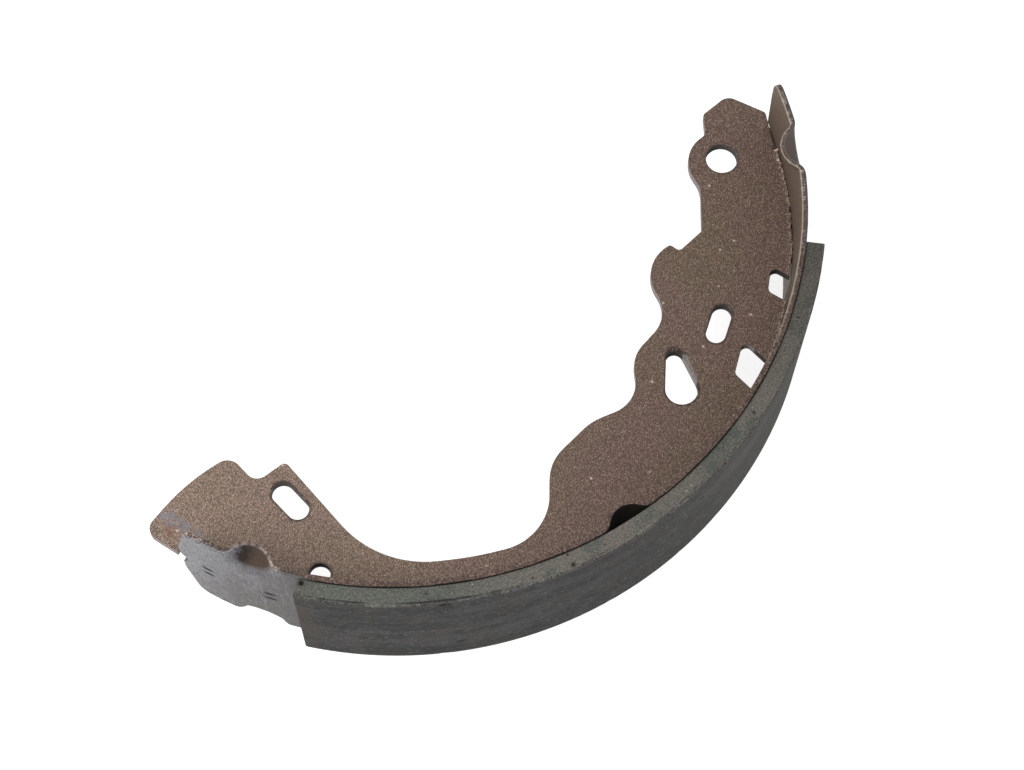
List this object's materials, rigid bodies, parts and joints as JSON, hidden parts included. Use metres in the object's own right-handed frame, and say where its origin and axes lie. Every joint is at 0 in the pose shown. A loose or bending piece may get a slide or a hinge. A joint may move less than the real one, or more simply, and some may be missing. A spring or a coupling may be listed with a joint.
{
  "type": "brake shoe",
  "caption": "Curved drum brake shoe: a flat slotted steel web edge-welded inside a bent steel table, with a moulded friction lining bonded around the outside.",
  "frame": {"origin": "on the lining's rubbing face, at the middle of its arc and of its width; the drum's axis is the line parallel to Z through x = -0.110, y = 0", "axes": "+X out of the rubbing face, away from the drum's axis, +Y towards the wheel cylinder end, +Z parallel to the drum's axis"},
  "size_m": [0.0913, 0.1989, 0.0462],
  "materials": {
    "web_steel": "thin brown-grey phosphate primer over plate, fine sparkle, bare grey at the sheared edges",
    "table_steel": "brown primer inside, rubbed to smooth bluish grey on the outer face at the ends",
    "friction_lining": "moulded friction composite, matt dark grey, fine grinding marks along the arc"
  },
  "bodies": {
    "root": {"web": "web_steel", "table": "table_steel", "lining": "friction_lining"}
  },
  "joints": []
}
